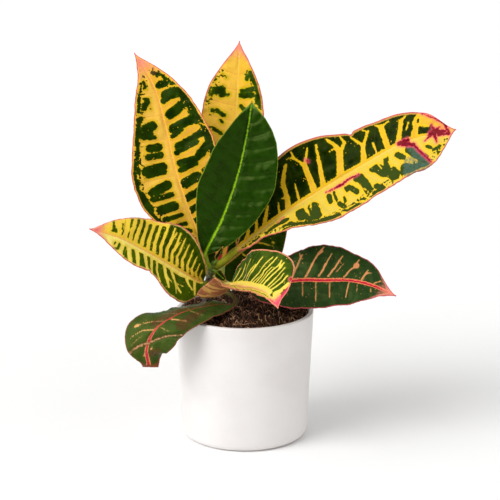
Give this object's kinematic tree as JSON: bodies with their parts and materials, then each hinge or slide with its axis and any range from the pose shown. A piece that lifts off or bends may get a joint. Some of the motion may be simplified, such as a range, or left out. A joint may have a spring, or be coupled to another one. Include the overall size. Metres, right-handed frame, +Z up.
{
  "type": "potted croton",
  "caption": "Variegated croton house plant with broad patterned leaves on a short stem, in a plain round tapered pot that stands on a flat underside.",
  "frame": {"origin": "centre of the pot's flat underside", "axes": "+Z up along the pot's axis, -Y towards the plant's front, +X to the right as seen from the front"},
  "size_m": [0.3347, 0.2111, 0.3603],
  "materials": {
    "pot": "matte",
    "soil": "matte",
    "stem": "matte",
    "leaf_yellow": "satin",
    "leaf_green": "satin"
  },
  "bodies": {
    "root": {"pot": "pot", "soil": "soil", "main_stem": "stem", "leaf_upper_left": "leaf_yellow", "leaf_upper_back": "leaf_yellow", "leaf_front_green": "leaf_green", "leaf_right": "leaf_yellow", "leaf_left": "leaf_yellow", "leaf_front_right": "leaf_yellow", "leaf_lower_right": "leaf_green", "leaf_lower_left": "leaf_green", "leaf_back_right": "leaf_green", "leaf_crown_upper": "leaf_green", "leaf_crown_lower": "leaf_green"}
  },
  "joints": []
}
